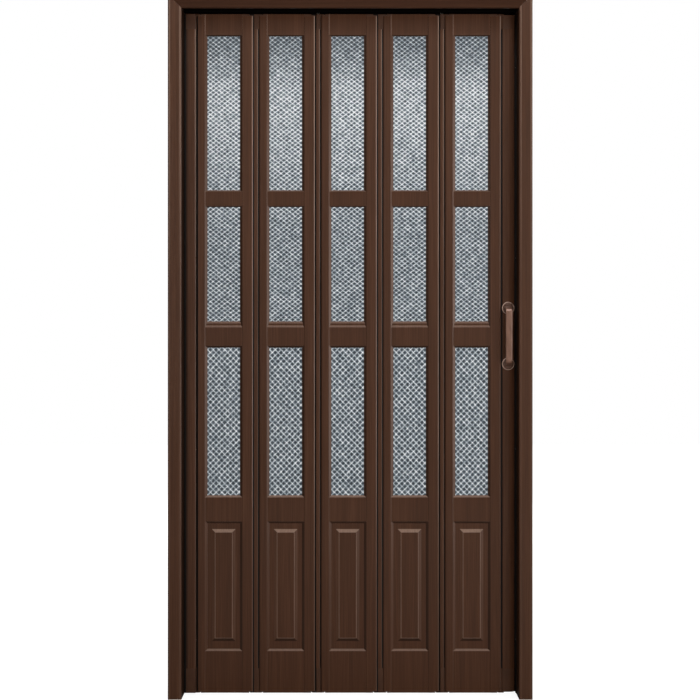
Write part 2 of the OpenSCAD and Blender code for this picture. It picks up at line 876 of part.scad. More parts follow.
module roller() {
    edge = 0.8;
    r = roller_d / 2;
    bore = axle_d / 2 + axle_fit;
    rotate([90, 0, 0]) rotate_extrude() polygon([[bore, -roller_w / 2], [r - edge, -roller_w / 2],
        [r, -roller_w / 2 + edge], [r, roller_w / 2 - edge], [r - edge, roller_w / 2],
        [bore, roller_w / 2]]);
}

module rollers(k) {
    color("#d8d4cc") for (sy = [-1, 1])
        translate([strip_x(k), sy * roller_y, axle_z]) roller();
}

// Lead post

module lead_post() {
    h = slat_h - link_top_h - link_bottom_h;
    color(brown) translate([post_axis, 0, 0]) difference() {
        translate([0, 0, slat_bottom + link_bottom_h]) linear_extrude(h) difference() {
            post_outline();
            post_chamber();
            magnet_seat(groove_play);
        }
        for (sz = [-1, 1])
            translate([handle_x, 0, handle_z + sz * handle_centres / 2]) rotate([90, 0, 0])
                cylinder(d = screw_d + 2 * screw_fit, h = 2 * post_t, center = true);
    }
}

module post_link(h) {
    drop = link_fit + link_t;
    translate([0, 0, -h]) linear_extrude(h - drop) post_outline();
    translate([0, 0, -h - spigot_l]) linear_extrude(spigot_l + small) post_chamber(plug_fit);
    link_plate(0, post_left + 2 * profile_edge_r);
    link_pin(0);
}

module post_hinge_links() {
    color(nylon) translate([post_axis, 0, 0]) top_and_bottom() {
        post_link(link_top_h);
        post_link(link_bottom_h);
    }
}

module post_magnet() {
    color(nylon) translate([post_axis + post_right - magnet_t, magnet_y - magnet_w / 2,
        slat_bottom + magnet_end]) cube([magnet_t, magnet_w, slat_h - 2 * magnet_end]);
}

// The bow's section, its width along X
module bow_section(trim = 0) {
    rounded_box(bow_w - 2 * trim, bow_t - 2 * trim, bow_edge_r);
}

// One end of the bow above the middle: bar, bend, leg and boss
module half_bow() {
    linear_extrude(bar_half) bow_section();
    translate([0, bow_bend_r, bar_half]) {
        rotate([90, 0, -90]) rotate_extrude(angle = bow_bend_angle, $fn = 96)
            translate([bow_bend_r, 0]) rotate(90) bow_section();
        rotate([-bow_bend_angle, 0, 0]) translate([0, -bow_bend_r, -leg_root])
            linear_extrude(leg_l + leg_root) bow_section(leg_trim);
    }
}

module handle_bow() {
    color(bronze) translate([post_axis + handle_x, -post_half, handle_z]) difference() {
        union() for (sz = [0, 1]) mirror([0, 0, sz]) {
            translate([0, -bow_stand, 0]) half_bow();
            translate([0, 0, handle_centres / 2]) rotate([90, 0, 0])
                cylinder(r = boss_r, h = boss_h);
        }
        for (sz = [-1, 1])
            translate([0, small, sz * handle_centres / 2]) rotate([90, 0, 0])
                cylinder(d = screw_d + 2 * screw_fit, h = handle_screw_in + small + screw_fit);
    }
}

module handle_rosettes() {
    edge = 1.2;
    bore = boss_r + 2 * plug_fit;
    r = rosette_d / 2;
    color(bronze) for (sz = [-1, 1])
        translate([post_axis + handle_x, -post_half, handle_z + sz * handle_centres / 2])
            rotate([90, 0, 0]) rotate_extrude() polygon([[bore, 0], [r, 0],
                [r, rosette_t - edge], [r - edge, rosette_t], [r - 3 * edge, rosette_t],
                [r - 4 * edge, rosette_t - edge / 2], [bore, rosette_t - edge / 2]]);
}

module handle_screws() {
    color(steel) for (sz = [-1, 1])
        translate([post_axis + handle_x, post_half + head_h,
            handle_z + sz * handle_centres / 2]) rotate([-90, 0, 0])
                screw(post_t + handle_screw_in);
}

casing_front_left();
casing_front_right();
casing_front_top();
casing_back_left();
casing_back_right();
casing_back_top();
lining_left();
lining_right();
lining_top();
corner_screws();
top_track();
wall_profile();
frame_screws();
wall_hinge_links();
strike_profile();
stop_strip();
strike_magnet();
for (k = [1 : SLATS]) {
    slat_stiles(k);
    slat_end_caps(k);
    slat_rails(k);
    slat_panes(k);
    slat_raised_panel(k);
}
for (k = [1 : SLATS - 1]) {
    hinge_strip(k);
    hinge_links(k);
}
for (k = HUNG) {
    carriage(k);
    rollers(k);
}
lead_post();
post_hinge_links();
post_magnet();
handle_bow();
handle_rosettes();
handle_screws();
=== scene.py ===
"""Looks of the accordion folding door: finishes, eased edges, cut panes, handle and screws."""
import json
import math

import bmesh
import bpy
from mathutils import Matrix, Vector


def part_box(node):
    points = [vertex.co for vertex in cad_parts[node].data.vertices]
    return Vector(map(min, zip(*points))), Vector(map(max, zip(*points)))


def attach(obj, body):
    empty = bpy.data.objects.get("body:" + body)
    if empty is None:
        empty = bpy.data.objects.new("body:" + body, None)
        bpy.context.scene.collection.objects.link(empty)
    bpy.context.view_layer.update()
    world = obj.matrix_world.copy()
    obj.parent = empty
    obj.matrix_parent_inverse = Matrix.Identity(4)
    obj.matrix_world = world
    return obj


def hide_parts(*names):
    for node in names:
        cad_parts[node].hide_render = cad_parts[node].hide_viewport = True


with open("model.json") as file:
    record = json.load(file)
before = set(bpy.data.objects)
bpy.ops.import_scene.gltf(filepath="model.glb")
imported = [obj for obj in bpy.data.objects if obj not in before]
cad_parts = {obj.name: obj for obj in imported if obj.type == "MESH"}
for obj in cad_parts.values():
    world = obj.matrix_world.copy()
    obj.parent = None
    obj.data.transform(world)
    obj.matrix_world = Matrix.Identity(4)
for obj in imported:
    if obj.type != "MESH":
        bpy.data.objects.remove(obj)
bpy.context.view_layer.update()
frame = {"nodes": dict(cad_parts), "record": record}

MM = 0.001
RECORD = frame["record"]
BODIES = RECORD["behaviour"]["bodies"]
BODY_OF = {node: body for body, nodes in BODIES.items() for node in nodes}
SLATS = [body[5:] for body in BODIES if body.startswith("slat_")]
STRIPS = [body[6:] for body in BODIES if body.startswith("strip_")]

# Camera, in metres and millimetres of lens
EYE = Vector((-0.0006, -3.466, 1.030))
LENS = 59.39
SENSOR = 36.0

# Eased edges: widths in millimetres, angles in degrees, and the shortest edge that is eased, in widths
ARRIS = 1.0
FINE_ARRIS = 0.4
FLAT_ANGLE = 0.5
SHARP_ANGLE = 11
SLOPE_ANGLE = 12
SMOOTH_ANGLE = 40
LONG_ENOUGH = 6

# Points this close count as one, in metres
WELD = 1e-6

# Shift of the grain from one solid to the next, and by the length of a node's name
BOARD_STEP = 3.1
NAME_STEP = 0.73

# Painted light on the film, from 0, none, to 1, the pale colour of painted highlights, or below zero
# towards the dark tone of painted shade
EDGE_HIGHLIGHT = 0.9
LEDGE_HIGHLIGHT = 0.33
FIELD_LEDGE_HIGHLIGHT = 0.68
RIGHT_HIGHLIGHT = 0.5
FIELD_RIGHT_HIGHLIGHT = 0.22
BAND_HIGHLIGHT = 0.8
PAINTED_SHADE = -0.6
SLOPE_HIGHLIGHT = 0.04

# Which faces are ledges, face the light on the right, get painted shade as they face down or left, or
# take a band, by parts of their unit normals
LEDGE_Z = 0.1
LIT_SIDE_X = 0.5
SHADED_X = (-0.5, -0.35)
BAND_Y = 0.3

# Painted highlight on upright edges, strongest near the top, where the light falls: this share up to the
# first height in metres, and all of it from the second
LOW_HIGHLIGHT = 0.17
HIGHLIGHT_FROM = 1.2
HIGHLIGHT_TO = 1.9

# Widths of black soft PVC, in millimetres: the lips of a hinge strip and its links, of the wall profile
# and of the lead post, the seal against the lining, and the tips of the slats' noses. Part of this black
# is painted shade: the seal, tips and lips are as wide as the dark gaps beside them
STRIP_LIP = 2.65
STRIP_LIP_RIGHT = 3.4
LINK_LIP = 13.5
SIDE_LIP = 3.2
POST_LIP = 3.75
WALL_SEAL = 5.9
FIRST_NOSE_TIP = 4.1
NOSE_TIP = 1.8

# Bands of painted light on the film: start and end in millimetres, from the left end, or below zero from
# the right end, and the amount. Above zero a band is a painted highlight line, below zero painted shade
# beside the wall profile's seal
WALL_BANDS = ((5.9, 8.9, -0.8), (8.9, 11.9, -0.45), (-6.0, -3.2, BAND_HIGHLIGHT))
STRIP_BANDS = ((-6.2, -3.4, 0.5),)
STILE_BANDS = ((-4.6, -1.8, BAND_HIGHLIGHT),)
RAIL_BANDS = ((0.0, 2.4, 1.0),)
CASING_BANDS = ((4.4, 7.0, 0.5), (-6.5, 0.0, 0.4))

# Cut pattern of the panes, in millimetres. A diamond's height is for the low, middle and high pane
DIAMOND_W = 17.1
DIAMOND_H = (17.5, 13.5, 13.1)
RELIEF = 0.85
SIDE_PLAY = 0.5

# Cut pattern: mesh steps across a diamond, random share of the relief, the powers that shape the bowls
# and the ridges' painted highlight, and how much of that painted highlight is the ridges' and the
# crossings'
STEPS_PER_DIAMOND = 6
DEPTH_PLAY = 0.25
BOWL_POWER = 0.75
RIDGE_HIGHLIGHT_POWER = 2.0
RIDGE_HIGHLIGHT_SHARE = 0.7
CROSSING_HIGHLIGHT_SHARE = 0.3

# Painted sheen on the panes' silver coat: the heights in metres between which the tone gets paler and
# darker again, and the sheen's share of the tone below, between and above them. Above them it is painted
# shade
SHEEN_RISE = (1.38, 1.72)
SHEEN_FALL = (1.82, 1.98)
SHEEN_LOW = -0.02
SHEEN_FULL = 0.14
SHEEN_TOP = -0.24

# Handle, in millimetres and degrees
BOW_W = 21
BOW_T = 7
BOW_BEND_R = 10
BOW_BEND_ANGLE = 70
BOW_FOOT = 1.2
BOW_LANDING = 3
RIM_R = 1.9
GROOVE_D = 0.4
DISH_R = 8.4
DISH_RISE = 0.3
BORE_RIM_R = 7.6
BORE_R = 7.2

# Handle: how far in from a rosette's edge its groove and dish are, in rim radii, and the powers
# that square the bow's section, across and in depth
GROOVE_IN = 2.4
DISH_IN = 3.0
SQUARE_ACROSS = 0.45
SQUARE_DEEP = 0.7

# Screws, in millimetres
HEAD_D = 7
HEAD_H = 2.0
FLAT_HEAD_H = 1.2
SHANK_D = 4
SHANK_L = 12
THREAD_PITCH = 1.8
THREAD_DEPTH = 0.35

# Screw heads: the crown's drop and the recess cutter's height in head heights, and the cutter's
# length and width in head diameters. Half of the cutter is in the head
CROWN = 0.45
CUTTER_TALL = 1.3
CUTTER_LONG = 0.56
CUTTER_WIDE = 0.15

# Roughness of the clear lacquer, the colour of painted shade, and the range that most of a noise is in
COAT_ROUGHNESS = 0.2
SHADE_TONE = "#160b06"
USUAL = (0.3, 0.7)

# Studio: the sky's strength on matt colour, and the floor's glow up to the first distance. It is
# whole from the second. Distances are in metres
SKY_FILL = 0.24
FLOOR_GLOW = 0.88
GLOW_FROM = 1.5
GLOW_TO = 5.0

# Floor and ring of dark cloth, in metres, and how many panels the ring has
FLOOR_REACH = 9.0
FLOOR_DROP = 0.0004
FLAG_COUNT = 48
FLAG_REACH = 6.0
FLAG_HEIGHTS = (-0.2, 5.0)


# Node helpers

def linear(hex_colour):
    """An sRGB hex colour as linear RGBA."""
    channels = [int(hex_colour[i:i + 2], 16) / 255 for i in (1, 3, 5)]
    return (*[c / 12.92 if c <= 0.04045 else ((c + 0.055) / 1.055) ** 2.4 for c in channels], 1.0)


def add(tree, kind, sockets=None, **settings):
    """Adds a node. Each socket is given a value, or the output that feeds it."""
    node = tree.nodes.new(kind)
    for name, value in settings.items():
        setattr(node, name, value)
    for name, value in (sockets or {}).items():
        if isinstance(value, bpy.types.NodeSocket):
            tree.links.new(value, node.inputs[name])
        else:
            node.inputs[name].default_value = value
    return node


def calc(tree, operation, a, b=0.0):
    """The result of one Math node."""
    return add(tree, "ShaderNodeMath", {0: a, 1: b}, operation=operation).outputs[0]


def scaled(tree, source, low, high, out_low, out_high):
    """The source's range from low to high, mapped to out_low to out_high and clamped."""
    return add(tree, "ShaderNodeMapRange", {"Value": source, "From Min": low, "From Max": high,
        "To Min": out_low, "To Max": out_high}).outputs["Result"]


def spread(tree, noise, low, high):
    """A noise's usual range, mapped to low to high."""
    return scaled(tree, noise, *USUAL, low, high)


def ramp(tree, source, *stops):
    """Colour along (position, hex colour) stops."""
    node = add(tree, "ShaderNodeValToRGB", {"Fac": source})
    elements = node.color_ramp.elements
    while len(elements) < len(stops):
        elements.new(0.5)
    for element, (position, colour) in zip(elements, stops):
        element.position = position
        element.color = linear(colour)
    return node.outputs["Color"]


def toned(tree, noise, dark, pale):
    """Colour from dark to pale over a noise's usual range."""
    return ramp(tree, noise, (USUAL[0], dark), (USUAL[1], pale))


def mixed(tree, share, first, second):
    """Two colours, mixed by a share from 0 to 1."""
    node = add(tree, "ShaderNodeMix", {0: share, 6: first, 7: second}, data_type="RGBA")
    return node.outputs[2]


def attribute(tree, name):
    """A number stored on the mesh."""
    return add(tree, "ShaderNodeAttribute", attribute_name=name).outputs["Fac"]


def height_in(tree):
    """Height above the floor in metres, with the door at rest."""
    place = add(tree, "ShaderNodeTexCoord").outputs["Object"]
    return add(tree, "ShaderNodeSeparateXYZ", {0: place}).outputs["Z"]


def streaks(tree, wide, long, axis, detail=2.0, seed=0.0):
    """Noise with spots this wide, and this long along the axis, in millimetres on Object coordinates.
    Each board has its own stretch of it, from the board attribute that eased() stores."""
    place = add(tree, "ShaderNodeTexCoord").outputs["Object"]
    scale = [1 / (wide * MM)] * 3
    scale["XYZ".index(axis)] = 1 / (long * MM)
    place = add(tree, "ShaderNodeMapping", {"Vector": place, "Scale": scale}).outputs[0]
    return add(tree, "ShaderNodeTexNoise", {"Vector": place, "W": calc(tree, "ADD",
        attribute(tree, "board"), seed), "Scale": 1.0, "Detail": detail, "Roughness": 0.55},
        noise_dimensions="4D").outputs["Fac"]


def bumped(tree, shader, height, depth):
    """Relief on the shader's normal, its depth in millimetres."""
    bump = add(tree, "ShaderNodeBump", {"Height": height, "Distance": depth * MM})
    tree.links.new(bump.outputs[0], shader.inputs["Normal"])


def finish(name, metallic=0.0, specular=0.5, coat=0.0):
    """A new material, its node tree and its shader."""
    material = bpy.data.materials.new(name)
    material.use_nodes = True
    tree = material.node_tree
    tree.nodes.clear()
    shader = add(tree, "ShaderNodeBsdfPrincipled", {"Metallic": metallic,
        "Specular IOR Level": specular, "Coat Weight": coat, "Coat Roughness": COAT_ROUGHNESS})
    add(tree, "ShaderNodeOutputMaterial", {"Surface": shader.outputs[0]})
    return material, tree, shader


# Finishes

def wood_foil(name, axis, specular, coat, dark, mid, light, edge):
    """Wood-grain film wrapped on foamed PVC or board: satin under a clear lacquer that catches light on
    slopes and edges, with pores pressed in along one axis. Painted highlights, in the pale edge colour,
    and painted shade, in the shade tone, follow the mesh's painted light attribute.
    The pores are 2.6 mm wide, coarser than real ones, so that they show from a few metres."""
    material, tree, shader = finish(name, specular=specular, coat=coat)
    shader.inputs["Specular Tint"].default_value = linear("#ffd9c4")
    # The tone follows the pores, and more weakly the wider bands and the broad figure
    pores = streaks(tree, 2.6, 150, axis, detail=3.0)
    bands = calc(tree, "MULTIPLY", streaks(tree, 11, 520, axis, seed=7.0), 0.5)
    figure = calc(tree, "MULTIPLY", streaks(tree, 45, 1400, axis, seed=13.0), 0.4)
    grain = calc(tree, "ADD", calc(tree, "ADD", pores, bands), figure)
    tone = ramp(tree, scaled(tree, grain, 0.65, 1.25, 0.0, 1.0), (0.0, dark), (0.5, mid), (1.0, light))
    # Painted highlight in the edge colour where the painted light attribute is above zero, on upright
    # faces strongest near the top; painted shade in the shade tone where it is below zero
    arris = attribute(tree, "arris")
    reach = calc(tree, "MAXIMUM", scaled(tree, height_in(tree), HIGHLIGHT_FROM, HIGHLIGHT_TO, LOW_HIGHLIGHT, 1.0),
        attribute(tree, "level"))
    painted_highlight = calc(tree, "MULTIPLY", arris, spread(tree, pores, 0.7, 1.0))
    painted_highlight = calc(tree, "MULTIPLY", painted_highlight, reach)
    tone = mixed(tree, painted_highlight, tone, linear(edge))
    tone = mixed(tree, calc(tree, "MULTIPLY", arris, -1.0), tone, linear(SHADE_TONE))
    tree.links.new(tone, shader.inputs["Base Color"])
    tree.links.new(spread(tree, pores, 0.47, 0.38), shader.inputs["Roughness"])
    bumped(tree, shader, pores, 0.12)
    return material


def moulded_nylon(name, colour, cloudy):
    """Injection-moulded nylon, dyed through: an even satin skin with a fine spark-eroded texture.
    The texture is 1.4 mm wide, coarser than a real one, so that it shows."""
    material, tree, shader = finish(name, specular=0.25)
    texture = streaks(tree, 1.4, 1.4, "Z", detail=4.0)
    cloud = streaks(tree, 30, 60, "Z")
    tone = ramp(tree, spread(tree, cloud, 0.0, 1.0), (0.0, colour), (1.0, cloudy))
    tree.links.new(tone, shader.inputs["Base Color"])
    tree.links.new(spread(tree, texture, 0.4, 0.52), shader.inputs["Roughness"])
    bumped(tree, shader, texture, 0.04)
    return material


def cut_acrylic():
    """Cast acrylic with a pressed diamond pattern and a silver-grey coat on its back. Painted highlights
    make the ridges and their crossings bright, and painted shade makes the bowls between them dark. A
    painted sheen makes the panes palest about 1.8 m up, and painted shade darkens them above about 2 m."""
    material, tree, shader = finish("cut_acrylic_silver")
    cloud = streaks(tree, 18, 26, "Z")
    lift = calc(tree, "ADD", attribute(tree, "glint"), cloud)
    height = height_in(tree)
    # Painted sheen: the tone gets paler up to about 1.8 m and darker again above it
    coat = calc(tree, "MINIMUM", scaled(tree, height, *SHEEN_RISE, SHEEN_LOW, SHEEN_FULL),
        scaled(tree, height, *SHEEN_FALL, SHEEN_FULL, SHEEN_TOP))
    # The ridges' painted highlight, the cloud and each point's chance glint lift or lower the tone
    share = calc(tree, "ADD", attribute(tree, "ridge_highlight"), scaled(tree, lift, 0.3, 1.7, -0.3, 0.3))
    share = calc(tree, "ADD", share, coat)
    tone = ramp(tree, share, (0.0, "#394046"), (0.3, "#606a72"), (0.6, "#a2abb2"), (0.9, "#f8fafc"))
    tree.links.new(tone, shader.inputs["Base Color"])
    shader.inputs["IOR"].default_value = 1.49
    tree.links.new(spread(tree, cloud, 0.1, 0.2), shader.inputs["Roughness"])
    return material


def lacquered_zinc():
    """Zinc die casting under bronze-brown metallic lacquer: satin, with fine flakes in it. It has a
    painted highlight on the rosettes' rims and painted shade inside them.
    The flakes are 0.9 mm wide, coarser than real ones, so that they show."""
    material, tree, shader = finish("lacquered_zinc_bronze", metallic=0.3, coat=0.6)
    flakes = streaks(tree, 0.9, 0.9, "Z")
    cloud = streaks(tree, 14, 40, "Z")
    tone = ramp(tree, spread(tree, cloud, 0.0, 1.0), (0.0, "#765342"), (1.0, "#8a6552"))
    tone = mixed(tree, scaled(tree, flakes, 0.55, 0.75, 0.0, 0.3), tone, linear("#a8846f"))
    # Painted highlight on the rosettes' rims and painted shade inside them, from their painted light
    # attribute
    arris = attribute(tree, "arris")
    tone = mixed(tree, calc(tree, "MULTIPLY", arris, 0.8), tone, linear("#cfae9b"))
    tone = mixed(tree, calc(tree, "MULTIPLY", arris, -0.55), tone, linear("#3a251b"))
    tree.links.new(tone, shader.inputs["Base Color"])
    tree.links.new(spread(tree, flakes, 0.3, 0.42), shader.inputs["Roughness"])
    bumped(tree, shader, flakes, 0.02)
    return material


def plated_steel():
    """Steel, barrel-plated with zinc: bright, with faint cloudy patches."""
    material, tree, shader = finish("zinc_plated_steel", metallic=1.0)
    cloud = streaks(tree, 3, 3, "Z", detail=3.0)
    tree.links.new(toned(tree, cloud, "#9fa2a0", "#c9cac6"), shader.inputs["Base Color"])
    tree.links.new(spread(tree, cloud, 0.22, 0.38), shader.inputs["Roughness"])
    return material


def powder_coat():
    """Extruded aluminium under dark, dead matt powder coat: even, with a fine orange peel."""
    material, tree, shader = finish("powder_coated_aluminium", specular=0.0)
    peel = streaks(tree, 1.6, 1.6, "X")
    tree.links.new(toned(tree, peel, "#060403", "#0d0a08"), shader.inputs["Base Color"])
    tree.links.new(spread(tree, peel, 0.5, 0.6), shader.inputs["Roughness"])
    bumped(tree, shader, peel, 0.03)
    return material


def turned_acetal():
    """Acetal turned on a lathe: milky, waxy and smooth, with faint tool rings.
    The rings are 0.5 mm apart, coarser than real ones, so that they show."""
    material, tree, shader = finish("turned_acetal")
    rings = streaks(tree, 20, 0.5, "Y")
    tree.links.new(toned(tree, rings, "#cfcabf", "#e2ded4"), shader.inputs["Base Color"])
    tree.links.new(spread(tree, rings, 0.28, 0.4), shader.inputs["Roughness"])
    return material


def soft_pvc():
    """Soft PVC lip, extruded onto the hard profile: black and matt, with faint lines from the die. It
    also stands as painted shade in dark gaps.
    The lines are 0.7 mm wide, coarser than real ones, so that they show."""
    material, tree, shader = finish("soft_pvc_black_and_painted_shade", specular=0.2)
    lines = streaks(tree, 0.7, 300, "Z")
    tree.links.new(toned(tree, lines, "#070504", "#120c09"), shader.inputs["Base Color"])
    tree.links.new(spread(tree, lines, 0.55, 0.7), shader.inputs["Roughness"])
    bumped(tree, shader, lines, 0.02)
    return material


def bonded_ferrite():
    """Plastic-bonded ferrite strip: near black and matt, with a fine grain.
    The grains are 0.8 mm wide, coarser than real ones, so that they show."""
    material, tree, shader = finish("bonded_ferrite", specular=0.2)
    grit = streaks(tree, 0.8, 0.8, "Z", detail=3.0)
    tree.links.new(toned(tree, grit, "#0d0b0a", "#191615"), shader.inputs["Base Color"])
    tree.links.new(spread(tree, grit, 0.55, 0.75), shader.inputs["Roughness"])
    bumped(tree, shader, grit, 0.03)
    return material


# The second tone set is a darker copy of the wood foil, painted shade on the head boards. The third is
# darker still, painted shade on the linings and stop strip in the recess. Each edge colour is the colour
# of painted highlights
WOOD = dict(dark="#382114", mid="#432819", light="#503221", edge="#a08473")
SHADED_WOOD = dict(dark="#321d12", mid="#3a2216", light="#452b1c", edge="#a08473")
SHADE = dict(dark="#20120a", mid="#2a190f", light="#342115", edge="#5a4336")
UPRIGHT = wood_foil("wood_grain_foil_upright", "Z", 0.3, 0.3, **WOOD)
LEVEL = wood_foil("wood_grain_foil_level", "X", 0.06, 0.1, **SHADED_WOOD)
LINING = wood_foil("wood_grain_foil_lining", "Z", 0.1, 0.0, **SHADE)
LINING_LEVEL = wood_foil("wood_grain_foil_lining_level", "X", 0.1, 0.0, **SHADE)
BROWN_NYLON = moulded_nylon("moulded_nylon_brown", "#3d2517", "#482d1d")
BLACK_NYLON = moulded_nylon("moulded_nylon_black", "#1b1715", "#26211e")
BLACK_PVC_AND_SHADE = soft_pvc()
ACRYLIC = cut_acrylic()
LACQUER = lacquered_zinc()
STEEL = plated_steel()
COAT = powder_coat()
ACETAL = turned_acetal()
FERRITE = bonded_ferrite()


# Pieces

def stands_for(piece, node):
    """The piece rides with the node's body and stands for one CAD node, which is hidden."""
    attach(piece, BODY_OF[node])
    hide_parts(node)


def as_piece(name, mesh, *materials):
    """A new object at the origin, its mesh in these materials."""
    # Clearing a list that is empty already would set every face's material index to zero
    if mesh.materials:
        mesh.materials.clear()
    for material in materials:
        mesh.materials.append(material)
    piece = bpy.data.objects.new(name, mesh)
    bpy.context.scene.collection.objects.link(piece)
    return piece


def merged(node):
    """A CAD node's mesh with its loose triangles sewn together."""
    bm = bmesh.new()
    bm.from_mesh(frame["nodes"][node].data)
    bmesh.ops.remove_doubles(bm, verts=bm.verts, dist=WELD)
    return bm


def islands(bm):
    """The vertices of each separate solid, in a fixed order."""
    left, found = set(bm.verts), []
    while left:
        stack = [left.pop()]
        group = set(stack)
        while stack:
            for edge in stack.pop().link_edges:
                fresh = [v for v in edge.verts if v not in group]
                group.update(fresh)
                stack.extend(fresh)
        left -= group
        found.append(group)
    return sorted(found, key=lambda group: min(tuple(v.co) for v in group))


def solid_boxes(node):
    """Lowest and highest corner of each solid in a CAD node."""
    bm = merged(node)
    boxes = [(Vector([min(v.co[i] for v in group) for i in range(3)]),
        Vector([max(v.co[i] for v in group) for i in range(3)])) for group in islands(bm)]
    bm.free()
    return boxes


def slope_light(normal, ledge, right_highlight, shade_depth):
    """Painted light on a sloping face: highlight on a ledge or a face turned to the light on the right,
    painted shade on a face turned down or left, or a trace of highlight.
    """
    if normal.z > LEDGE_Z:
        return ledge
    if normal.x > LIT_SIDE_X:
        return right_highlight
    # Faces turned down or left get painted shade
    turned_away = normal.z < -LEDGE_Z or SHADED_X[0] < normal.x < SHADED_X[1]
    return shade_depth if shade_depth and turned_away else SLOPE_HIGHLIGHT


def eased(node, material, width, lips=(0, 0), bands=(), ledge=LEDGE_HIGHLIGHT, shade_depth=0.0, right_highlight=RIGHT_HIGHLIGHT,
        even=False):
    """A CAD node with its long arrises rounded. The board attribute gives each solid its own grain.
    Its painted light attribute holds painted highlights: on rounded edges, a little on slopes, more on
    ledges, and on faces turned to the light on the right. Below zero it holds painted shade, on slopes
    that face down or left. The level attribute marks faces whose painted highlight is the same at every
    height: ledges, and all faces of a piece marked even. On other faces it is strongest near the top,
    where the light falls. Faces beyond the lips take black PVC, partly painted shade.
    The lips and bands are widths and spans as the values at the top give them."""
    bm = merged(node)
    board = bm.verts.layers.float.new("board")
    arris = bm.faces.layers.float.new("arris")
    level = bm.faces.layers.float.new("level")
    rounded = bm.faces.layers.int.new("rounded")
    low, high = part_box(node)
    left, right = low[0] + lips[0] * MM, high[0] - lips[1] * MM
    cuts, spans = {left, right}, []
    for start, end, painted_amount in bands:
        base = low[0] if end > 0 else high[0]
        spans.append((base + start * MM, base + end * MM, painted_amount))
        cuts.update(spans[-1][:2])
    bmesh.ops.dissolve_limit(bm, angle_limit=math.radians(FLAT_ANGLE), verts=bm.verts, edges=bm.edges)
    sharp = [e for e in bm.edges if len(e.link_faces) == 2
        and e.calc_face_angle(0) > math.radians(SHARP_ANGLE)
        and e.calc_length() > LONG_ENOUGH * width * MM]
    fresh = bmesh.ops.bevel(bm, geom=sharp, offset=width * MM, offset_type="OFFSET",
        segments=2, profile=0.5, affect="EDGES", clamp_overlap=True)["faces"]
    for face in fresh:
        face[rounded] = all(edge.is_convex for edge in face.edges if len(edge.link_faces) == 2)
    for place in sorted(cuts):
        if low[0] < place < high[0]:
            bmesh.ops.bisect_plane(bm, geom=[*bm.verts, *bm.edges, *bm.faces], dist=WELD,
                plane_co=(place, 0, 0), plane_no=(1, 0, 0))
    for number, group in enumerate(islands(bm)):
        for vert in group:
            vert[board] = BOARD_STEP * number + NAME_STEP * len(node)
    for face in bm.faces:
        x = face.calc_center_median().x
        face.material_index = int((lips[0] > 0 and x < left) or (lips[1] > 0 and x > right))
        face.smooth = True
        if max(abs(c) for c in face.normal) < math.cos(math.radians(SLOPE_ANGLE)):
            # Painted highlight or painted shade on sloping faces
            face[arris] = slope_light(face.normal, ledge, right_highlight, shade_depth)
            face[level] = float(even or face.normal.z > LEDGE_Z)
        if face[rounded]:
            # Painted highlight on rounded edges
            face[arris] = EDGE_HIGHLIGHT
            face[level] = float(even or abs(face.normal.z) > LEDGE_Z)
        # Bands of painted highlight, or painted shade below zero
        for start, end, painted_amount in spans:
            if start < x < end and abs(face.normal.y) > BAND_Y:
                face[arris] = painted_amount
    for edge in bm.edges:
        edge.smooth = len(edge.link_faces) == 2 and edge.calc_face_angle(0) < math.radians(SMOOTH_ANGLE)
    mesh = bpy.data.meshes.new(node + "_eased")
    bm.to_mesh(mesh)
    bm.free()
    piece = as_piece(node + "_eased", mesh, material, *([BLACK_PVC_AND_SHADE] if any(lips) else []))
    flats = piece.modifiers.new("flat faces stay flat", "WEIGHTED_NORMAL")
    flats.weight = 90
    flats.keep_sharp = True
    stands_for(piece, node)


def paint(node, material):
    """A finish on a CAD node whose shape is already right."""
    for slot in frame["nodes"][node].material_slots:
        slot.material = material


# Geometry Nodes

SOCKETS = {float: "NodeSocketFloat", int: "NodeSocketInt", Vector: "NodeSocketVector",
    bpy.types.Material: "NodeSocketMaterial"}


def new_tree(name, geometry=False, **defaults):
    """A Geometry Nodes tree with named inputs, and the outputs that carry them."""
    tree = bpy.data.node_groups.new(name, "GeometryNodeTree")
    tree.interface.new_socket(name="Geometry", in_out="OUTPUT", socket_type="NodeSocketGeometry")
    if geometry:
        tree.interface.new_socket(name="Geometry", in_out="INPUT", socket_type="NodeSocketGeometry")
    for label, value in defaults.items():
        socket = tree.interface.new_socket(name=label, in_out="INPUT", socket_type=SOCKETS[type(value)])
        socket.default_value = value
    return tree, add(tree, "NodeGroupInput").outputs


def end_tree(tree, geometry, material, smooth):
    """Ends a tree: instances made real, shading and material set."""
    real = add(tree, "GeometryNodeRealizeInstances", {"Geometry": geometry})
    shaded = add(tree, "GeometryNodeSetShadeSmooth", {"Geometry": real.outputs[0],
        "Shade Smooth": smooth})
    done = add(tree, "GeometryNodeSetMaterial", {"Geometry": shaded.outputs[0], "Material": material})
    add(tree, "NodeGroupOutput", {0: done.outputs[0]})


def grown(name, tree, start=None, **values):
    """The mesh that a tree makes with these inputs."""
    holder = bpy.data.objects.new(name, start or bpy.data.meshes.new(name))
    bpy.context.scene.collection.objects.link(holder)
    modifier = holder.modifiers.new(name, "NODES")
    modifier.node_group = tree
    for item in tree.interface.items_tree:
        if item.in_out == "INPUT" and item.name in values:
            modifier[item.identifier] = values[item.name]
    graph = bpy.context.evaluated_depsgraph_get()
    mesh = bpy.data.meshes.new_from_object(holder.evaluated_get(graph), depsgraph=graph)
    bpy.data.objects.remove(holder)
    return mesh


def joined(name, meshes):
    """Several meshes as one."""
    bm = bmesh.new()
    for mesh in meshes:
        bm.from_mesh(mesh)
    whole = bpy.data.meshes.new(name)
    bm.to_mesh(whole)
    bm.free()
    return whole


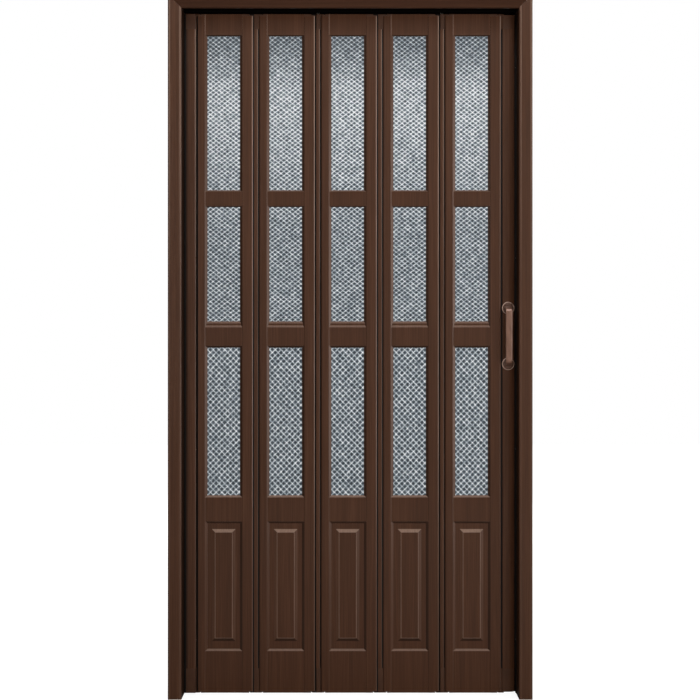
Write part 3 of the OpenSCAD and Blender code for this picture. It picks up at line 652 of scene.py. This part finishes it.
def pane_tree():
    """A sheet whose two faces are pressed into diamond bowls between straight ridges."""
    tree, given = new_tree("cut_pane", Centre=Vector((0, 0, 0)), Size=Vector((0.1, 0.004, 0.4)),
        Columns=8, Rows=8, Relief=RELIEF * MM, DepthPlay=DEPTH_PLAY, SidePlay=SIDE_PLAY * MM,
        Seed=1, Finish=ACRYLIC)
    sheet = add(tree, "GeometryNodeMeshCube", {"Size": given["Size"], "Vertices X": given["Columns"],
        "Vertices Y": 2, "Vertices Z": given["Rows"]}).outputs["Mesh"]
    here = add(tree, "GeometryNodeInputPosition").outputs[0]
    here = add(tree, "ShaderNodeSeparateXYZ", {0: here}).outputs
    size = add(tree, "ShaderNodeSeparateXYZ", {0: given["Size"]}).outputs

    def steps(axis, count):
        share = calc(tree, "ADD", calc(tree, "DIVIDE", here[axis], size[axis]), 0.5)
        return calc(tree, "MULTIPLY", share, calc(tree, "SUBTRACT", given[count], 1.0))

    def inside(number, count):
        last = calc(tree, "SUBTRACT", given[count], 1.5)
        return calc(tree, "MULTIPLY", calc(tree, "GREATER_THAN", number, 0.5),
            calc(tree, "LESS_THAN", number, last))

    def chance(low, high, shift):
        seed = calc(tree, "ADD", given["Seed"], shift)
        node = add(tree, "FunctionNodeRandomValue", {"Seed": seed, 2: low, 3: high}, data_type="FLOAT")
        return node.outputs[1]

    column, row = steps("X", "Columns"), steps("Z", "Rows")
    half = STEPS_PER_DIAMOND / 2
    rising = calc(tree, "PINGPONG", calc(tree, "ROUND", calc(tree, "ADD", column, row)), half)
    falling = calc(tree, "SUBTRACT", column, row)
    falling = calc(tree, "PINGPONG", calc(tree, "ROUND", calc(tree, "ABSOLUTE", falling)), half)
    near = calc(tree, "DIVIDE", calc(tree, "MINIMUM", rising, falling), half)
    far = calc(tree, "DIVIDE", calc(tree, "MAXIMUM", rising, falling), half)
    within = calc(tree, "MULTIPLY", inside(column, "Columns"), inside(row, "Rows"))
    play = calc(tree, "MULTIPLY", chance(-1.0, 1.0, 1), given["DepthPlay"])
    bowl = calc(tree, "MULTIPLY", calc(tree, "POWER", near, BOWL_POWER), calc(tree, "ADD", play, 1.0))
    press = calc(tree, "MULTIPLY", calc(tree, "MULTIPLY", bowl, given["Relief"]), within)
    press = calc(tree, "MULTIPLY", press, calc(tree, "SIGN", here["Y"]))
    side = calc(tree, "MULTIPLY", given["SidePlay"], within)
    offset = add(tree, "ShaderNodeCombineXYZ", {
        "X": calc(tree, "MULTIPLY", side, chance(-1.0, 1.0, 2)),
        "Y": calc(tree, "MULTIPLY", press, -1.0),
        "Z": calc(tree, "MULTIPLY", side, chance(-1.0, 1.0, 3))}).outputs[0]

    def crest(distance, share):
        peak = calc(tree, "POWER", calc(tree, "SUBTRACT", 1.0, distance), RIDGE_HIGHLIGHT_POWER)
        return calc(tree, "MULTIPLY", peak, share)

    # Painted highlight on the ridges and brighter on their crossings, painted shade in the bowls: stored
    # as a share of the panes' tone
    shine = calc(tree, "ADD", crest(near, RIDGE_HIGHLIGHT_SHARE), crest(far, CROSSING_HIGHLIGHT_SHARE))
    stored = sheet
    for name, value in (("ridge_highlight", shine), ("glint", chance(0.0, 1.0, 4))):
        stored = add(tree, "GeometryNodeStoreNamedAttribute", {"Geometry": stored, "Name": name,
            "Value": value}, data_type="FLOAT", domain="POINT").outputs[0]
    corner = calc(tree, "ROUND", calc(tree, "ADD", column, row))
    parity = calc(tree, "FLOORED_MODULO", corner, 2.0)
    even = calc(tree, "LESS_THAN", parity, 0.5)
    cut = add(tree, "GeometryNodeTriangulate", {"Mesh": stored, "Selection": even},
        quad_method="FIXED_ALTERNATE").outputs[0]
    cut = add(tree, "GeometryNodeTriangulate", {"Mesh": cut}, quad_method="FIXED").outputs[0]
    pressed = add(tree, "GeometryNodeSetPosition", {"Geometry": cut, "Offset": offset}).outputs[0]
    placed = add(tree, "GeometryNodeTransform", {"Geometry": pressed,
        "Translation": given["Centre"]}).outputs[0]
    end_tree(tree, placed, given["Finish"], False)
    return tree


def screw_tree():
    """Pan-head screws with a cross recess, one on each point, each along its own out vector."""
    tree, given = new_tree("pan_head_screws", geometry=True, HeadDiameter=HEAD_D * MM,
        HeadHeight=HEAD_H * MM, ShankDiameter=SHANK_D * MM, ShankLength=SHANK_L * MM,
        Pitch=THREAD_PITCH * MM, Depth=THREAD_DEPTH * MM, Finish=STEEL)
    here = add(tree, "GeometryNodeInputPosition").outputs[0]
    here = add(tree, "ShaderNodeSeparateXYZ", {0: here}).outputs
    reach = calc(tree, "SQRT", calc(tree, "ADD", calc(tree, "MULTIPLY", here["X"], here["X"]),
        calc(tree, "MULTIPLY", here["Y"], here["Y"])))

    def raised(mesh, height):
        height = add(tree, "ShaderNodeCombineXYZ", {"Z": height}).outputs[0]
        return add(tree, "GeometryNodeTransform", {"Geometry": mesh, "Translation": height}).outputs[0]

    radius = calc(tree, "MULTIPLY", given["HeadDiameter"], 0.5)
    head = add(tree, "GeometryNodeMeshCylinder", {"Vertices": 32, "Side Segments": 2,
        "Fill Segments": 6, "Radius": radius, "Depth": given["HeadHeight"]},
        fill_type="TRIANGLE_FAN").outputs["Mesh"]
    crown = calc(tree, "MULTIPLY", calc(tree, "POWER", calc(tree, "DIVIDE", reach, radius), 3.0), -CROWN)
    crown = calc(tree, "MULTIPLY", crown, calc(tree, "GREATER_THAN", here["Z"], 0.0))
    crown = calc(tree, "MULTIPLY", crown, given["HeadHeight"])
    crown = add(tree, "ShaderNodeCombineXYZ", {"Z": crown}).outputs[0]
    head = add(tree, "GeometryNodeSetPosition", {"Geometry": head, "Offset": crown}).outputs[0]
    head = raised(head, calc(tree, "MULTIPLY", given["HeadHeight"], 0.5))
    for long, wide in ((CUTTER_LONG, CUTTER_WIDE), (CUTTER_WIDE, CUTTER_LONG)):
        size = add(tree, "ShaderNodeCombineXYZ", {
            "X": calc(tree, "MULTIPLY", given["HeadDiameter"], long),
            "Y": calc(tree, "MULTIPLY", given["HeadDiameter"], wide),
            "Z": calc(tree, "MULTIPLY", given["HeadHeight"], CUTTER_TALL)}).outputs[0]
        slot = add(tree, "GeometryNodeMeshCube", {"Size": size}).outputs["Mesh"]
        carve = add(tree, "GeometryNodeMeshBoolean", {0: head}, operation="DIFFERENCE")
        tree.links.new(raised(slot, given["HeadHeight"]), carve.inputs[1])
        head = carve.outputs[0]
    shank = add(tree, "GeometryNodeMeshCylinder", {"Vertices": 16, "Side Segments": 60,
        "Radius": calc(tree, "MULTIPLY", given["ShankDiameter"], 0.5),
        "Depth": given["ShankLength"]}).outputs["Mesh"]
    turns = calc(tree, "DIVIDE", here["Z"], given["Pitch"])
    around = calc(tree, "DIVIDE", calc(tree, "ARCTAN2", here["Y"], here["X"]), 2 * math.pi)
    # A whole number of turns keeps the wave's input above zero. The wave peaks at a half, and the
    # radius is half of the diameter, so four times the share reaches the thread's full depth
    wave = calc(tree, "PINGPONG", calc(tree, "ADD", calc(tree, "ADD", turns, around), 90.0), 0.5)
    share = calc(tree, "DIVIDE", calc(tree, "MULTIPLY", wave, given["Depth"]), given["ShankDiameter"])
    share = calc(tree, "MULTIPLY", share, -4.0)
    inward = add(tree, "ShaderNodeCombineXYZ", {"X": calc(tree, "MULTIPLY", here["X"], share),
        "Y": calc(tree, "MULTIPLY", here["Y"], share)}).outputs[0]
    shank = add(tree, "GeometryNodeSetPosition", {"Geometry": shank, "Offset": inward}).outputs[0]
    shank = raised(shank, calc(tree, "MULTIPLY", given["ShankLength"], -0.5))
    screw = add(tree, "GeometryNodeJoinGeometry")
    tree.links.new(head, screw.inputs[0])
    tree.links.new(shank, screw.inputs[0])
    outward = add(tree, "GeometryNodeInputNamedAttribute", {"Name": "out"}, data_type="FLOAT_VECTOR")
    turn = add(tree, "FunctionNodeAlignRotationToVector", {"Vector": outward.outputs[0]}, axis="Z")
    screws = add(tree, "GeometryNodeInstanceOnPoints", {"Points": given["Geometry"],
        "Instance": screw.outputs[0], "Rotation": turn.outputs[0]}).outputs[0]
    end_tree(tree, screws, given["Finish"], False)
    return tree


def bow_tree():
    """The bow: a rounded bar along a path with two filleted bends."""
    tree, given = new_tree("handle_bow", geometry=True, Width=BOW_W * MM, Thickness=BOW_T * MM,
        BendRadius=BOW_BEND_R * MM, Finish=LACQUER)
    path = add(tree, "GeometryNodeMeshToCurve", {"Mesh": given["Geometry"]}).outputs[0]
    path = add(tree, "GeometryNodeFilletCurve", {"Curve": path, "Count": 20,
        "Radius": given["BendRadius"]}, mode="POLY").outputs[0]
    ring = add(tree, "GeometryNodeCurvePrimitiveCircle", {"Resolution": 56, "Radius": 1.0}).outputs[0]
    here = add(tree, "ShaderNodeSeparateXYZ",
        {0: add(tree, "GeometryNodeInputPosition").outputs[0]}).outputs

    def squared(value, power, size):
        pushed = calc(tree, "MULTIPLY", calc(tree, "SIGN", value),
            calc(tree, "POWER", calc(tree, "ABSOLUTE", value), power))
        return calc(tree, "MULTIPLY", pushed, calc(tree, "MULTIPLY", size, 0.5))

    oval = add(tree, "ShaderNodeCombineXYZ", {"X": squared(here["X"], SQUARE_ACROSS, given["Width"]),
        "Y": squared(here["Y"], SQUARE_DEEP, given["Thickness"])}).outputs[0]
    ring = add(tree, "GeometryNodeSetPosition", {"Geometry": ring, "Position": oval}).outputs[0]
    bar = add(tree, "GeometryNodeCurveToMesh", {"Curve": path, "Profile Curve": ring,
        "Fill Caps": True}).outputs[0]
    end_tree(tree, bar, given["Finish"], True)
    return tree


# The door's frame and slats

def dress_frame():
    """Casings, linings, track and the two side profiles."""
    for side in ("front", "back"):
        for end in ("left", "right"):
            # Bands of painted highlight near both edges of the casings
            eased("casing_" + side + "_" + end, UPRIGHT, ARRIS, bands=CASING_BANDS)
        eased("casing_" + side + "_top", LEVEL, ARRIS)
    # The linings take the darker shade tones: painted shade
    eased("lining_left", LINING, ARRIS)
    eased("lining_right", LINING, ARRIS)
    eased("lining_top", LINING_LEVEL, ARRIS)
    # The wall profile's black seal and its links' black part are painted shade beside the casing, and
    # its bands are painted shade beside the seal and a painted highlight line at its right edge. The
    # strike profile's black is painted shade in the gap right of the post
    eased("wall_profile", UPRIGHT, ARRIS, lips=(WALL_SEAL, SIDE_LIP), bands=WALL_BANDS)
    eased("strike_profile", BLACK_PVC_AND_SHADE, FINE_ARRIS)
    eased("stop_strip", LINING, FINE_ARRIS)
    eased("wall_hinge_links", BROWN_NYLON, FINE_ARRIS, lips=(WALL_SEAL, 0))
    paint("top_track", COAT)
    paint("strike_magnet", FERRITE)


def dress_slat(k):
    """Stiles, rails, raised panel and end caps of one slat."""
    # Painted light on the slat: black nose tips, partly painted shade; painted highlight bands by the
    # stiles' right noses and the rails' left ends; painted highlight on ledges and right-facing slopes,
    # painted shade on slopes that face down or left
    eased("slat_" + k + "_stiles", UPRIGHT, FINE_ARRIS, shade_depth=PAINTED_SHADE, bands=STILE_BANDS,
        lips=(FIRST_NOSE_TIP if k == SLATS[0] else 0, NOSE_TIP))
    eased("slat_" + k + "_rails", UPRIGHT, FINE_ARRIS, shade_depth=PAINTED_SHADE, bands=RAIL_BANDS)
    eased("slat_" + k + "_raised_panel", UPRIGHT, FINE_ARRIS, ledge=FIELD_LEDGE_HIGHLIGHT, shade_depth=PAINTED_SHADE,
        right_highlight=FIELD_RIGHT_HIGHLIGHT, even=True)
    paint("slat_" + k + "_end_caps", BROWN_NYLON)


def cut_panes(k, tree):
    """The three panes of a slat, each with a whole number of cut steps."""
    node = "slat_" + k + "_panes"
    meshes = []
    boxes = sorted(solid_boxes(node), key=lambda box: box[0].z)
    for number, ((low, high), diamond_h) in enumerate(zip(boxes, DIAMOND_H)):
        size = high - low
        columns = 1 + round(STEPS_PER_DIAMOND * size.x / (DIAMOND_W * MM))
        rows = 1 + round(STEPS_PER_DIAMOND * size.z / (diamond_h * MM))
        meshes.append(grown(node, tree, Centre=(low + high) / 2, Size=size, Columns=columns,
            Rows=rows, Seed=10 * int(k) + number))
    stands_for(as_piece("slat_" + k + "_cut_panes", joined(node, meshes), ACRYLIC), node)


def dress_strip(k):
    """A hinge strip with its links, and its carriage and rollers where it has them."""
    # Black lips, and the links' black left part, are partly painted shade in the gaps; the band is a
    # painted highlight line near the strip's right edge
    eased("hinge_strip_" + k, UPRIGHT, ARRIS, lips=(STRIP_LIP, STRIP_LIP_RIGHT), bands=STRIP_BANDS)
    eased("hinge_links_" + k, BROWN_NYLON, FINE_ARRIS, lips=(LINK_LIP, 0))
    if "carriage_" + k in BODY_OF:
        eased("carriage_" + k, BLACK_NYLON, FINE_ARRIS)
        paint("rollers_" + k, ACETAL)


# Lead post, handle and screws

def points_mesh(name, points, edges=(), **vectors):
    """Loose points, with vectors stored on them, for a tree to grow on."""
    mesh = bpy.data.meshes.new(name)
    mesh.from_pydata(points, edges, [])
    for label, values in vectors.items():
        layer = mesh.attributes.new(label, "FLOAT_VECTOR", "POINT")
        for item, value in zip(layer.data, values):
            item.vector = value
    return mesh


def screws(node, tree, outward, head_height):
    """Screws where a CAD node has them. The functions give the way that a head faces, and its height."""
    meshes = []
    for number, (low, high) in enumerate(solid_boxes(node)):
        way = outward(low, high)
        head = head_height(low, high) * MM
        axis = max(range(3), key=lambda i: abs(way[i]))
        point = (low + high) / 2
        point[axis] = high[axis] - head if way[axis] > 0 else low[axis] + head
        start = points_mesh(node + str(number), [point], out=[way])
        meshes.append(grown(node, tree, start, HeadHeight=head,
            ShankLength=high[axis] - low[axis] - head))
    stands_for(as_piece(node + "_pan_head", joined(node, meshes), STEEL), node)


def all_screws():
    """The screws of the corners, the handle, the track and the two side profiles."""
    tree = screw_tree()
    up, back, down = Vector((0, 0, 1)), Vector((0, 1, 0)), Vector((0, 0, -1))
    track_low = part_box("top_track")[0][2]

    def from_frame(low, high):
        if high.z > track_low:
            return down
        return Vector((-1 if low.x > 0 else 1, 0, 0))

    def frame_head(low, high):
        """The strike profile's screws, on the right below the track, have flatter heads."""
        return FLAT_HEAD_H if low.x > 0 and high.z < track_low else HEAD_H

    screws("corner_screws", tree, lambda low, high: up, lambda low, high: HEAD_H)
    screws("handle_screws", tree, lambda low, high: back, lambda low, high: HEAD_H)
    screws("frame_screws", tree, from_frame, frame_head)


def dress_post():
    """The lead post, its links and its magnet."""
    # The post's black left lip is partly painted shade in the gap
    eased("lead_post", UPRIGHT, ARRIS, lips=(POST_LIP, 0))
    eased("post_hinge_links", BROWN_NYLON, FINE_ARRIS)
    paint("post_magnet", FERRITE)


def handle():
    """The bow, on a path from one rosette's centre to the other's."""
    low, high = [Vector(corner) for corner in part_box("handle_bow")]
    ends = sorted(solid_boxes("handle_rosettes"), key=lambda box: box[0].z)
    x = (low.x + high.x) / 2
    bar_y = low.y + BOW_T * MM / 2
    foot_y = ends[0][0].y + BOW_FOOT * MM
    slope = math.tan(math.radians(BOW_BEND_ANGLE))
    points = []
    for side, (bottom, top) in ((-1, ends[0]), (1, ends[1])):
        foot = Vector((x, foot_y, (bottom.z + top.z) / 2 + side * BOW_LANDING * MM))
        bend = Vector((x, bar_y, foot.z - side * (foot_y - bar_y) / slope))
        points += [foot, bend] if side < 0 else [bend, foot]
    path = points_mesh("bow_path", points, [(0, 1), (1, 2), (2, 3)])
    stands_for(as_piece("handle_bow_cast", grown("handle_bow", bow_tree(), path), LACQUER),
        "handle_bow")


def rosettes():
    """Two turned rosettes: a rolled rim, a groove and a dished face."""
    bm = bmesh.new()
    centres = []
    for low, high in solid_boxes("handle_rosettes"):
        r = (high.x - low.x) / 2 / MM
        t = (high.y - low.y) / MM
        rim = [(r + RIM_R * (math.cos(a) - 1), t - RIM_R + RIM_R * math.sin(a))
            for a in [math.radians(10 * i) for i in range(19)]]
        dish = t - RIM_R
        profile = [(r, 0.0), *rim, (r - GROOVE_IN * RIM_R, dish - GROOVE_D), (r - DISH_IN * RIM_R, dish),
            (DISH_R, dish + DISH_RISE), (BORE_RIM_R, dish), (BORE_R, dish - GROOVE_D), (BORE_R, 0.0)]
        centre = Vector(((low.x + high.x) / 2, high.y, (low.z + high.z) / 2))
        centres.append(centre)
        verts = [bm.verts.new(centre + Vector((a * MM, -b * MM, 0))) for a, b in profile]
        edges = [bm.edges.new(pair) for pair in zip(verts, verts[1:] + verts[:1])]
        bmesh.ops.spin(bm, geom=verts + edges, cent=centre, axis=(0, 1, 0), steps=72,
            angle=2 * math.pi, use_merge=True)
    bmesh.ops.remove_doubles(bm, verts=bm.verts, dist=WELD)
    bmesh.ops.recalc_face_normals(bm, faces=bm.faces)
    arris = bm.faces.layers.float.new("arris")
    for face in bm.faces:
        face.smooth = True
        middle = face.calc_center_median()
        away = min((middle - centre).xz.length for centre in centres)
        # Painted highlight on the rim, painted shade on everything inside it
        face[arris] = 1.0 if away > (r - RIM_R) * MM else -1.0
    for edge in bm.edges:
        edge.smooth = edge.calc_face_angle(0) < math.radians(SMOOTH_ANGLE)
    mesh = bpy.data.meshes.new("handle_rosettes")
    bm.to_mesh(mesh)
    bm.free()
    stands_for(as_piece("handle_rosettes_turned", mesh, LACQUER), "handle_rosettes")


# Studio

def studio_world():
    """White for the camera, glossy and transmission rays, and a soft grey fill for the rest."""
    world = bpy.data.worlds.new("studio")
    bpy.context.scene.world = world
    world.use_nodes = True
    tree = world.node_tree
    tree.nodes.clear()
    path = add(tree, "ShaderNodeLightPath").outputs
    seen = calc(tree, "MAXIMUM", path["Is Camera Ray"], path["Is Glossy Ray"])
    seen = calc(tree, "MAXIMUM", seen, path["Is Transmission Ray"])
    sky = add(tree, "ShaderNodeBackground", {"Color": (1, 1, 1, 1),
        "Strength": scaled(tree, seen, 0.0, 1.0, SKY_FILL, 1.0)})
    add(tree, "ShaderNodeOutputWorld", {"Surface": sky.outputs[0]})


def softbox(name, place, aim, size, power, seen_by=("diffuse", "glossy")):
    """A rectangular softbox that lights matt colour, gloss or both."""
    light = bpy.data.lights.new(name, "AREA")
    light.shape = "RECTANGLE"
    light.size, light.size_y = size
    light.energy = power
    lamp = bpy.data.objects.new(name, light)
    lamp.location = place
    lamp.rotation_euler = (Vector(aim) - Vector(place)).to_track_quat("-Z", "Y").to_euler()
    lamp.visible_diffuse = "diffuse" in seen_by
    lamp.visible_glossy = "glossy" in seen_by
    bpy.context.scene.collection.objects.link(lamp)


def stage_floor():
    """A pale floor just below zero. The camera sees it near white by the door, with the door's shadow
    on it, and white further away."""
    corners = [(x * FLOOR_REACH, y * FLOOR_REACH, -FLOOR_DROP)
        for x, y in ((-1, -1), (1, -1), (1, 1), (-1, 1))]
    mesh = bpy.data.meshes.new("floor")
    mesh.from_pydata(corners, [], [(0, 1, 2, 3)])
    material = bpy.data.materials.new("painted_floor")
    material.use_nodes = True
    tree = material.node_tree
    tree.nodes.clear()
    coat = add(tree, "ShaderNodeBsdfDiffuse", {"Color": linear("#a09e9b")})
    seen = add(tree, "ShaderNodeLightPath").outputs["Is Camera Ray"]
    place = add(tree, "ShaderNodeTexCoord").outputs["Object"]
    away = add(tree, "ShaderNodeVectorMath", {0: place}, operation="LENGTH").outputs["Value"]
    glow = add(tree, "ShaderNodeEmission", {"Color": (1, 1, 1, 1),
        "Strength": calc(tree, "MULTIPLY", seen,
            scaled(tree, away, GLOW_FROM, GLOW_TO, FLOOR_GLOW, 1.0))})
    both = add(tree, "ShaderNodeAddShader", {0: coat.outputs[0], 1: glow.outputs[0]})
    add(tree, "ShaderNodeOutputMaterial", {"Surface": both.outputs[0]})
    as_piece("floor", mesh, material)


def dark_flags():
    """A ring of black cloth round the set. Only glossy rays meet it, so flat faces stay deep."""
    turns = [2 * math.pi * i / FLAG_COUNT for i in range(FLAG_COUNT)]
    points = [(FLAG_REACH * math.cos(a), FLAG_REACH * math.sin(a), z)
        for a in turns for z in FLAG_HEIGHTS]
    faces = [(i, i + 1, (i + 3) % len(points), (i + 2) % len(points)) for i in range(0, len(points), 2)]
    mesh = bpy.data.meshes.new("flags")
    mesh.from_pydata(points, [], faces)
    material = bpy.data.materials.new("black_cloth")
    material.use_nodes = True
    material.node_tree.nodes["Principled BSDF"].inputs["Base Color"].default_value = linear("#161413")
    flags = as_piece("flags", mesh, material)
    flags.visible_camera = False
    flags.visible_diffuse = False
    flags.visible_transmission = False
    flags.visible_shadow = False


def camera():
    """The photograph's view: level, square to the front."""
    data = bpy.data.cameras.new("camera")
    data.lens = LENS
    data.sensor_width = SENSOR
    eye = bpy.data.objects.new("camera", data)
    eye.location = EYE
    eye.rotation_euler = (math.pi / 2, 0, 0)
    bpy.context.scene.collection.objects.link(eye)
    bpy.context.scene.camera = eye


camera()
dress_frame()
PANE_TREE = pane_tree()
for slat in SLATS:
    dress_slat(slat)
    cut_panes(slat, PANE_TREE)
for strip in STRIPS:
    dress_strip(strip)
dress_post()
handle()
rosettes()
all_screws()

# Each lamp: its place and aim in metres, its width and height in metres, its power in watts
studio_world()
stage_floor()
dark_flags()
softbox("key", (2.5, -3.0, 1.3), (0.0, 0.0, 1.0), (1.6, 2.4), 43)
softbox("fill", (-1.8, -3.6, 1.5), (0.0, 0.0, 1.0), (1.0, 2.2), 8)
softbox("front", (-0.2, -4.2, 1.0), (0.0, 0.0, 0.9), (3.0, 1.2), 46, seen_by=("diffuse",))
softbox("tops", (0.1, -2.0, 1.95), (0.0, 0.0, 1.95), (2.4, 0.25), 11, seen_by=("diffuse",))
softbox("overhead", (0.2, -3.8, 4.2), (0.0, 0.0, 1.0), (3.4, 2.0), 15, seen_by=("glossy",))
softbox("ledges", (0.2, -1.9, 4.1), (0.0, 0.0, 1.0), (3.4, 1.0), 70, seen_by=("glossy",))
softbox("rim", (4.0, -2.2, 1.3), (0.0, 0.0, 1.1), (1.0, 3.0), 90, seen_by=("glossy",))
softbox("back", (0.5, 4.2, 2.2), (0.0, 0.0, 1.0), (3.0, 2.2), 110)
softbox("left", (-3.8, 1.4, 1.8), (0.0, 0.0, 1.0), (1.6, 2.4), 45)
softbox("right", (3.8, 1.4, 1.8), (0.0, 0.0, 1.0), (1.6, 2.4), 45)
bpy.context.scene.view_settings.view_transform = "Standard"
